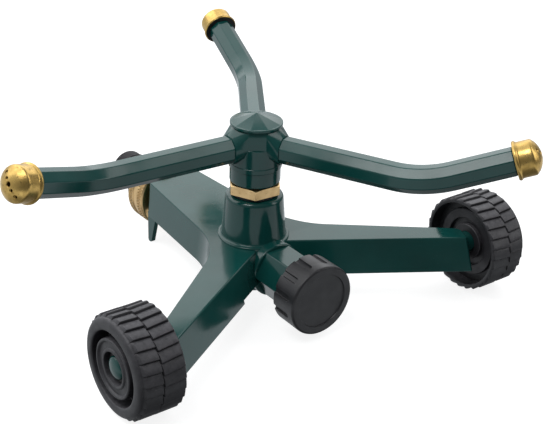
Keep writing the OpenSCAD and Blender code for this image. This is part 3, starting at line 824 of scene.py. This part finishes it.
def build_cap(turn):
    """The pointed cap: a thin disc under a low nine-sided pyramid, on a plug in the head."""
    disc_r, disc_z, cone_z, apex = 13.7, 98.15, 99.6, 104.0
    disc = soften([(0, disc_z), (disc_r, disc_z, 0.3), (disc_r, cone_z, 0.4), (0, cone_z)], 0, 4,
                  closed=False)
    cap = shape("rotor_cap_body", *lathe(disc, 144))
    ring = regular(SIDES, disc_r - 0.4, turn + CAP_TURN)
    tip = regular(SIDES, 0.35, turn + CAP_TURN)
    pyramid = loft([[(x, y, z) for x, y in outline]
                    for outline, z in ((ring, cone_z - 0.3), (ring, cone_z - 0.01), (tip, apex))])
    plug = lathe([(0, 92), (6.87, 92), (6.87, 98.6), (0, 98.6)], 64)
    combine(cap, [shape("pyramid", *pyramid), shape("plug", *plug)], "UNION")
    ease_edges(cap, 0.18, 14, 2)
    finish_piece(cap, "rotor", ENAMEL, ["rotor_cap"], 32, COARSE_WELD)


for number, arm_line in enumerate(ARMS):
    build_arm(number, arm_line)
build_cap(build_head())


# ---- nozzle caps ----------------------------------------------------------------------------

NOZZLE_DOME = 8.0
NOZZLE_DOME_H = 4.2
JET_STEP = 3.1


def nozzle_profile():
    """Spun brass cap: a rolled rim round the gasket's seat, a short waist, a straight body and a
    low dome."""
    body_r, dome_from, dome_h = 8.9, NOZZLE_DOME, NOZZLE_DOME_H
    dome_r = (body_r ** 2 + dome_h ** 2) / 2 / dome_h
    opening = math.asin(body_r / dome_r)
    rim_r = 9.75
    outer = [(6.26, 0.8), (9.2, 0.8), (9.2, -0.75), (9.3, -0.93)]
    outer += arc(rim_r - 0.95, 0.0, 0.95, -55, 62, 8)
    outer += [(9.02, 1.25), (8.92, 1.7)]
    steps = 12
    soft = []
    for k in range(steps + 1):
        t = opening * (1 - k / steps)
        r, h = dome_r * math.sin(t), dome_from + dome_h - dome_r * (1 - math.cos(t))
        soft.append((r, h))
    shoulder = soften([(8.92, 1.7), (8.92, dome_from + 0.05, 1.8), soft[3]], 0, 6, closed=False)
    outer += shoulder[1:-1] + soft[3:]
    outer[-1] = (0, dome_from + dome_h)
    return [*outer, (0, 8.6), (4.7, 8.0), (6.26, 6.8)]


def build_nozzle(i, arm):
    name = f"nozzle_cap_{i + 1}"
    place = axes(arm.rim, arm.tip_dir, arm.normal.cross(arm.tip_dir))
    cap = shape(name + "_body", *lathe(nozzle_profile(), 96), place)
    drills = []
    for k in range(-2, 3):
        r = 1.1 if k == 0 else 0.65
        sink = r + 0.28
        top = NOZZLE_DOME + NOZZLE_DOME_H - 0.052 * (k * JET_STEP) ** 2 - 0.15
        hole = lathe([(0, 5), (r, 5), (r, top - 0.25), (sink, top + 0.1), (sink, 14), (0, 14)], 28)
        tilt = Matrix.Translation((0, k * JET_STEP, 0))
        drills.append(shape("drill", *hole, place @ tilt))
    combine(cap, drills, "DIFFERENCE")
    finish_piece(cap, f"nozzle_{i + 1}", AGED_BRASS, [name], 34)
    ring = soften([(6.22, -0.98), (8.95, -0.98), (8.95, 0.74), (6.22, 0.74)], 0.3, 4)
    gasket = shape(f"nozzle_gasket_{i + 1}_ring", *lathe(ring, 72), place)
    finish_piece(gasket, "rotor", RUBBER, [f"nozzle_gasket_{i + 1}"])


for number, arm_line in enumerate(ARMS):
    build_nozzle(number, arm_line)


# ---- hose inlet -----------------------------------------------------------------------------

COUPLING_X, COUPLING_END = -83.0, -97.0
COUPLING_R = 19.2
BACKWARD = axes((0, 0, HOSE_Z), (-1, 0, 0), (0, 0, 1))


def knurled(profile, bands, ridges, depth, slant):
    """A lathe profile whose wall is cut into slanting ridges between each band's two heights."""
    per_ridge = 6
    segments = ridges * per_ridge
    verts, faces = [], []
    for r, z in profile:
        for k in range(segments):
            a = 2 * math.pi * k / segments
            cut = 0.0
            for low, high in bands:
                if low < z < high and r > COUPLING_R - 0.6:
                    phase = (k / per_ridge + slant * (z - low)) % 1
                    edge = min(1, (z - low) / 0.35, (high - z) / 0.35)
                    cut = depth * edge * abs(2 * phase - 1)
            verts.append(((r - cut) * math.cos(a), (r - cut) * math.sin(a), z))
    for ring in range(len(profile)):
        follow = (ring + 1) % len(profile)
        for k in range(segments):
            j = (k + 1) % segments
            faces.append((ring * segments + k, ring * segments + j,
                          follow * segments + j, follow * segments + k))
    return verts, faces


def build_coupling():
    start, end = -COUPLING_X, -COUPLING_END
    band = 4.6
    sunk = 0.5
    bands = [(start + 0.9, start + band), (end - band, end - 0.7)]
    profile = [(9.06, start + 0.3), (9.4, start)]
    profile += arc(COUPLING_R - 1.6, start + 1.6, 1.6, -90, 0, 6)
    rows = 7
    low, high = start + 1.6, start + band
    profile += [(COUPLING_R, low + (high - low) * k / rows) for k in range(1, rows + 1)]
    profile += [(COUPLING_R - sunk, start + band + sunk), (COUPLING_R - sunk, end - band - sunk)]
    low, high = end - band, end - 0.7
    profile += [(COUPLING_R, low + (high - low) * k / rows) for k in range(rows + 1)]
    profile += arc(COUPLING_R - 0.7, end - 0.7, 0.7, 0, 90, 4)[1:]
    profile += [(13.9, end), (13.4, end - 0.5), (13.4, start + 3.4), (9.06, start + 3.4)]
    coupling = shape("inlet_coupling_body", *knurled(profile, bands, 64, 0.8, 0.42), BACKWARD)
    finish_piece(coupling, "inlet", BRIGHT_BRASS, ["inlet_coupling"], 40)


def build_adaptor():
    r = 10.4
    seat = 121.5
    outline = [(5.5, 91.4), (13.35, 91.4), (13.35, 97.3), (16.6, 97.3, 0.5), (16.6, 101.5, 1.2),
               (r + 1.2, 103.5, 0.8), (r + 1.2, 106, 0.5), (r - 1, 108, 0.6), (r - 1, 112, 0.6),
               (r + 0.4, 113.5, 0.4), (r + 0.4, seat - 1.43, 0.2), (r - 2, seat - 1.43, 0.2),
               (r - 2, seat + 1.43, 0.2), (r, seat + 1.43, 0.2), (r, 129.0, 0.7),
               (r - 1.4, 130.4, 0.9), (5.5, 130.4, 0.5)]
    adaptor = shape("hose_adaptor_body", *lathe(soften(outline, 0.1, 4), 96), BACKWARD)
    finish_piece(adaptor, "inlet", ADAPTOR_PLASTIC, ["hose_adaptor"], 34)
    ring = arc(r - 0.65, seat, 1.3, 0, 360 - 15, 23)
    o_ring = shape("adaptor_o_ring_loop", *lathe(ring, 96), BACKWARD)
    finish_piece(o_ring, "inlet", RUBBER, ["adaptor_o_ring"])


def build_stem():
    """The brass stem on which the coupling swivels."""
    outline = [(6, 66.5), (8.55, 66.5), (8.55, 79.95), (11, 79.95, 0.4), (11, 82, 0.4), (9, 82),
               (9, 86.45), (11, 86.45, 0.3), (11, 88.6, 0.3), (6, 88.6, 0.3)]
    stem = shape("inlet_stem_body", *lathe(soften(outline, 0.08, 3), 72), BACKWARD)
    finish_piece(stem, "base", BRIGHT_BRASS, ["inlet_stem"], 34)


build_coupling()
build_adaptor()
build_stem()


# ---- spare outlet's cap ---------------------------------------------------------------------

CAP_BACK, CAP_FACE = node_span("outlet_cap", 0)
CAP_R = 19.0


def build_outlet_cap():
    """The spare outlet's screw cap: a cup with a sunk disc on its face and slots round its wall."""
    thread = 13.4
    disc_r = 0.77 * CAP_R
    sunk = 0.75
    outline = [(thread, CAP_BACK, 0.4), (CAP_R - 0.15, CAP_BACK, 0.7), (CAP_R, CAP_FACE, 1.3),
               (disc_r, CAP_FACE, 0.12), (disc_r - 0.2, CAP_FACE - sunk, 0.15),
               (0, CAP_FACE - sunk), (0, CAP_FACE - 2.6), (thread, CAP_FACE - 2.6)]
    outline = soften(outline, 0, 5, closed=False)
    cap = shape("outlet_cap_body", *lathe(outline, 144), ALONG_X)
    cutters = []
    slots, half, depth, land = 12, 1.5, 1.3, 4.4
    slot = [(-half, -6), (half, -6)] + arc(0, CAP_FACE - CAP_BACK - land - half, half, 0, 180, 12)
    for k in range(slots):
        a = 2 * math.pi * (k + 0.5) / slots
        out = Vector((0, math.cos(a), math.sin(a)))
        side = out.cross(Vector((1, 0, 0)))
        rings = []
        for h, flare in ((0, -0.35), (0.5, 0.0), (3.0, 0.25)):
            ring = []
            for w, x in slot:
                wide = w * (1 + flare / half)
                long = x + (flare if x > 0 else 0)
                ring.append(Vector((CAP_BACK + long, 0, HOSE_Z)) + out * (CAP_R - depth + h)
                            + side * wide)
            rings.append(ring)
        cutters.append(shape("slot", *loft(rings)))
    combine(cap, cutters, "DIFFERENCE")
    ease_edges(cap, 0.22, 32, 2)
    finish_piece(cap, "cap", CAP_PLASTIC, ["outlet_cap"], 36, COARSE_WELD)


build_outlet_cap()


# ---- wheels ---------------------------------------------------------------------------------

LUGS = 28
LUG_STEP = 1.4
WHEEL_R = 26.0
WHEEL_W = WHEEL_OUT - WHEEL_IN
DRUM_R = WHEEL_R - LUG_STEP


def wheel_tread(side):
    """Rings of the ratchet tread from the inner shoulder to the outer one: two rows of ramped
    lugs, the outer row a third of a lug ahead, each row's steps a little askew."""
    marks = [0.0, 0.035, 0.07, 0.14, 0.30, 0.48, 0.66, 0.82, 0.93, 1.0]
    heights = [0.0, 0.80, 0.97, 1.0, 0.92, 0.76, 0.59, 0.42, 0.26, 0.12]
    shoulder_in, shoulder_out, mid = 0.7, 3.2, 0.5 * WHEEL_W
    gap = 0.35
    stations = [(0.0, 0, 0.0), (0.25, 0, 0.55), (shoulder_in, 0, 1.0), (4, 0, 1.0), (8, 0, 1.0),
                (mid - gap, 0, 1.0), (mid - 0.1, 0, 0.3), (mid + 0.1, 1, 0.3),
                (mid + gap, 1, 1.0), (15, 1, 1.0), (18.5, 1, 1.0),
                (WHEEL_W - shoulder_out, 1, 1.0), (WHEEL_W - 2.7, 1, 0.55),
                (WHEEL_W - 2.2, 1, 0.15)]
    rings = []
    for z, row, share in stations:
        drift = 0.34 * row + (z - mid) * (0.012 if row else -0.014)
        fall = 0.0
        if z > WHEEL_W - shoulder_out:
            fall = 0.35 * (z - WHEEL_W + shoulder_out) ** 2
        ring = []
        for lug in range(LUGS):
            for mark, height in zip(marks[:-1], heights[:-1]):
                turn = -side * 2 * math.pi * (lug + mark + drift) / LUGS
                r = DRUM_R + LUG_STEP * height * share - fall
                ring.append((r * math.cos(turn), r * math.sin(turn), z))
        rings.append(ring)
    return rings


def ring_turn(radius, z, like):
    """A plain ring whose points lie at the same angles as another ring's."""
    return [(radius * math.cos(math.atan2(y, x)), radius * math.sin(math.atan2(y, x)), z)
            for x, y, _ in like]


def wheel_mesh(side):
    """Closed mesh of one wheel about local Z, from its inner face (0) to its outer face."""
    tread = wheel_tread(side)
    w = WHEEL_W
    bore = AXLE_R + 0.06
    face = [(24.35, w - 1.55), (23.8, w - 0.85), (22.95, w - 0.35), (21.9, w - 0.1), (20.1, w),
            (19.3, w - 0.05), (18.8, w - 0.3), (18.5, w - 0.8), (18.45, w - 8.6), (18.05, w - 9),
            (15.2, w - 9), (14.85, w - 8.6), (14.8, w - 1.0), (14.65, w - 0.55), (14.3, w - 0.3),
            (13.7, w - 0.3), (13.35, w - 0.5), (13.1, w - 1.1), (12.8, w - 1.35),
            (10.2, w - 1.3), (9.95, w - 1.15), (9.7, w - 0.75), (9.35, w - 0.6), (8.7, w - 0.6),
            (8.35, w - 0.75), (8.2, w - 1.2), (8.2, w - 4.4), (8.0, w - 4.6), (bore, w - 4.6),
            (bore, 5.0), (bore + 0.2, 4.8), (9.7, 4.8), (10.0, 5.1), (10, 7.0), (13.5, 7.0),
            (13.5, 5.1), (13.8, 4.8), (18.4, 4.8), (18.7, 5.1), (18.8, 7.0), (22.8, 7.0),
            (22.9, 6.8), (22.95, 0.7), (23.15, 0.2), (23.6, 0.0), (24.2, 0.0)]
    first, last = tread[0], tread[-1]
    blend = [ring_turn(r, z, last) for r, z in face[:12]]
    rest = [ring_turn(r, z, last) for r, z in face[12:-2]]
    closing = [ring_turn(r, z, first) for r, z in face[-2:]]
    rings = [*tread, *blend, *rest, *closing]
    size = len(first)
    verts = [p for ring in rings for p in ring]
    faces = []
    for k in range(len(rings)):
        n = (k + 1) % len(rings)
        for i in range(size):
            j = (i + 1) % size
            faces.append((k * size + i, k * size + j, n * size + j, n * size + i))
    return verts, faces


def build_wheel(name, side):
    """One wheel and the steel ring that keeps it on its axle."""
    place = axes((AXLE_X, side * WHEEL_IN, AXLE_Z), (0, side, 0), (1, 0, 0))
    wheel = shape(name + "_moulding", *wheel_mesh(side), place)
    finish_piece(wheel, name, WHEEL_PLASTIC, [name], 38)
    ring = soften([(AXLE_R - 0.6, 0), (7.5, 0), (7.5, 0.8), (AXLE_R - 0.6, 0.8)], 0.15, 2)
    place = axes((AXLE_X, side * (WHEEL_OUT - 4), AXLE_Z), (0, side, 0), (1, 0, 0))
    clip = shape(name + "_retainer_ring", *lathe(ring, 64), place)
    finish_piece(clip, "base", BLACK_STEEL, [name + "_retainer"])


build_wheel("left_wheel", 1)
build_wheel("right_wheel", -1)


# ---- inner pieces kept from the CAD ---------------------------------------------------------

def dress(node, look):
    """Gives a CAD node its material, leaving its mesh alone."""
    thing = frame["nodes"][node]
    thing.data.materials.clear()
    thing.data.materials.append(look)


for node_name, node_look in (
        ("thrust_washer", NYLON), ("spindle", BRIGHT_BRASS), ("inlet_washer", RUBBER),
        ("inlet_filter", FILTER_STEEL), ("outlet_cap_washer", RUBBER)):
    dress(node_name, node_look)


# ---- stage, light and camera ----------------------------------------------------------------

# The floor is a light table: white, and lit a little from below.
FLOOR_GLOW = 0.85

def build_floor():
    rim = [(x, y, 0) for x, y in regular(64, 9000)]
    floor = shape("floor", rim, [tuple(range(len(rim)))])
    look = Look("pale floor", Roughness=0.6, Specular_IOR_Level=0.2,
                Emission_Color=(1, 1, 1, 1), Emission_Strength=FLOOR_GLOW)
    look.wire("Base Color", look.blend(look.noise(300, 2), (0.30, 0.30, 0.30, 1),
                                       (0.32, 0.32, 0.32, 1)))
    floor.data.materials.append(look.material)
    floor.visible_glossy = False
    floor.visible_diffuse = False


def soft_light(name, size, power, turn, height, distance, aim=(0, 0, 40)):
    """A rectangular soft light; turn is its compass direction in degrees, height its angle."""
    lamp = bpy.data.lights.new(name, "AREA")
    lamp.shape = "RECTANGLE"
    lamp.size, lamp.size_y = size
    lamp.energy = power
    thing = bpy.data.objects.new(name, lamp)
    bpy.context.scene.collection.objects.link(thing)
    a, e = math.radians(turn), math.radians(height)
    target = HOME @ Vector(aim)
    back = Vector((math.cos(e) * math.cos(a), math.cos(e) * math.sin(a), math.sin(e)))
    thing.location = target + back * distance
    thing.rotation_mode = "QUATERNION"
    thing.rotation_quaternion = back.to_track_quat("Z", "Y")
    return thing


SKY_DIM, SKY_BRIGHT, TABLE = 0.15, 0.82, 0.90


def graph_value(tree, kind, operation, *inputs):
    """A maths node in a node tree; inputs are numbers or other nodes' outputs."""
    made = tree.nodes.new(kind)
    if operation:
        made.operation = operation
    for k, value in enumerate(inputs):
        if isinstance(value, bpy.types.NodeSocket):
            tree.links.new(value, made.inputs[k])
        else:
            made.inputs[k].default_value = value
    return made


def build_world():
    """Pale surroundings: bright behind, dim toward the camera, and a bright table all round."""
    world = bpy.data.worlds.new("studio")
    bpy.context.scene.world = world
    world.use_nodes = True
    tree = world.node_tree
    background = tree.nodes["Background"]
    background.inputs["Color"].default_value = (0.92, 0.96, 1.0, 1)
    ray = tree.nodes.new("ShaderNodeTexCoord").outputs["Generated"]
    turn, height = math.radians(195), math.radians(15)
    behind = (math.cos(height) * math.cos(turn), math.cos(height) * math.sin(turn),
              math.sin(height))
    toward = graph_value(tree, "ShaderNodeVectorMath", "DOT_PRODUCT", ray, behind)
    spread = graph_value(tree, "ShaderNodeMapRange", None, toward.outputs["Value"], -0.7, 0.65)
    curve = graph_value(tree, "ShaderNodeMath", "POWER", spread.outputs[0], 1.6)
    sky = graph_value(tree, "ShaderNodeMath", "MULTIPLY_ADD", curve.outputs[0],
                      SKY_BRIGHT - SKY_DIM, SKY_DIM)
    z = graph_value(tree, "ShaderNodeSeparateXYZ", None, ray).outputs["Z"]
    near = graph_value(tree, "ShaderNodeMapRange", None, z, -0.10, -0.20)
    under = graph_value(tree, "ShaderNodeMapRange", None, z, -0.70, -0.50)
    ring = graph_value(tree, "ShaderNodeMath", "MULTIPLY", near.outputs[0], under.outputs[0])
    table = graph_value(tree, "ShaderNodeMath", "MULTIPLY", ring.outputs[0], TABLE)
    light = graph_value(tree, "ShaderNodeMath", "MAXIMUM", sky.outputs[0], table.outputs[0])
    tree.links.new(light.outputs[0], background.inputs["Strength"])


def build_camera():
    """Camera at the height and turn that shows the machine as a buyer sees it on a table."""
    camera = bpy.data.objects.new("camera", bpy.data.cameras.new("camera"))
    bpy.context.scene.collection.objects.link(camera)
    camera.data.lens = 86.0
    camera.data.sensor_width = 36.0
    camera.data.clip_start = 0.01
    camera.data.clip_end = 60
    turn, rise, roll = (math.radians(a) for a in (52.32, 27.11, 2.12))
    back = Vector((math.sin(turn) * math.cos(rise), -math.cos(turn) * math.cos(rise),
                   math.sin(rise)))
    target = HOME @ Vector((4.1, 10.9, 46.0))
    camera.location = target + back * 0.6964
    aim = back.to_track_quat("Z", "Y").to_matrix()
    camera.rotation_mode = "QUATERNION"
    camera.rotation_quaternion = (aim @ Matrix.Rotation(roll, 3, "Z")).to_quaternion()
    bpy.context.scene.camera = camera


build_floor()
build_world()
build_camera()
bpy.context.scene.view_settings.view_transform = "Standard"
soft_light("back wall", (2.4, 1.3), 11, 142, 36, 1.4)
soft_light("left box", (1.0, 1.0), 5, 215, 45, 1.2)
soft_light("front key", (0.45, 0.35), 3, -75, 62, 1.1)
soft_light("right strip", (0.4, 1.0), 3, 50, 35, 1.1)
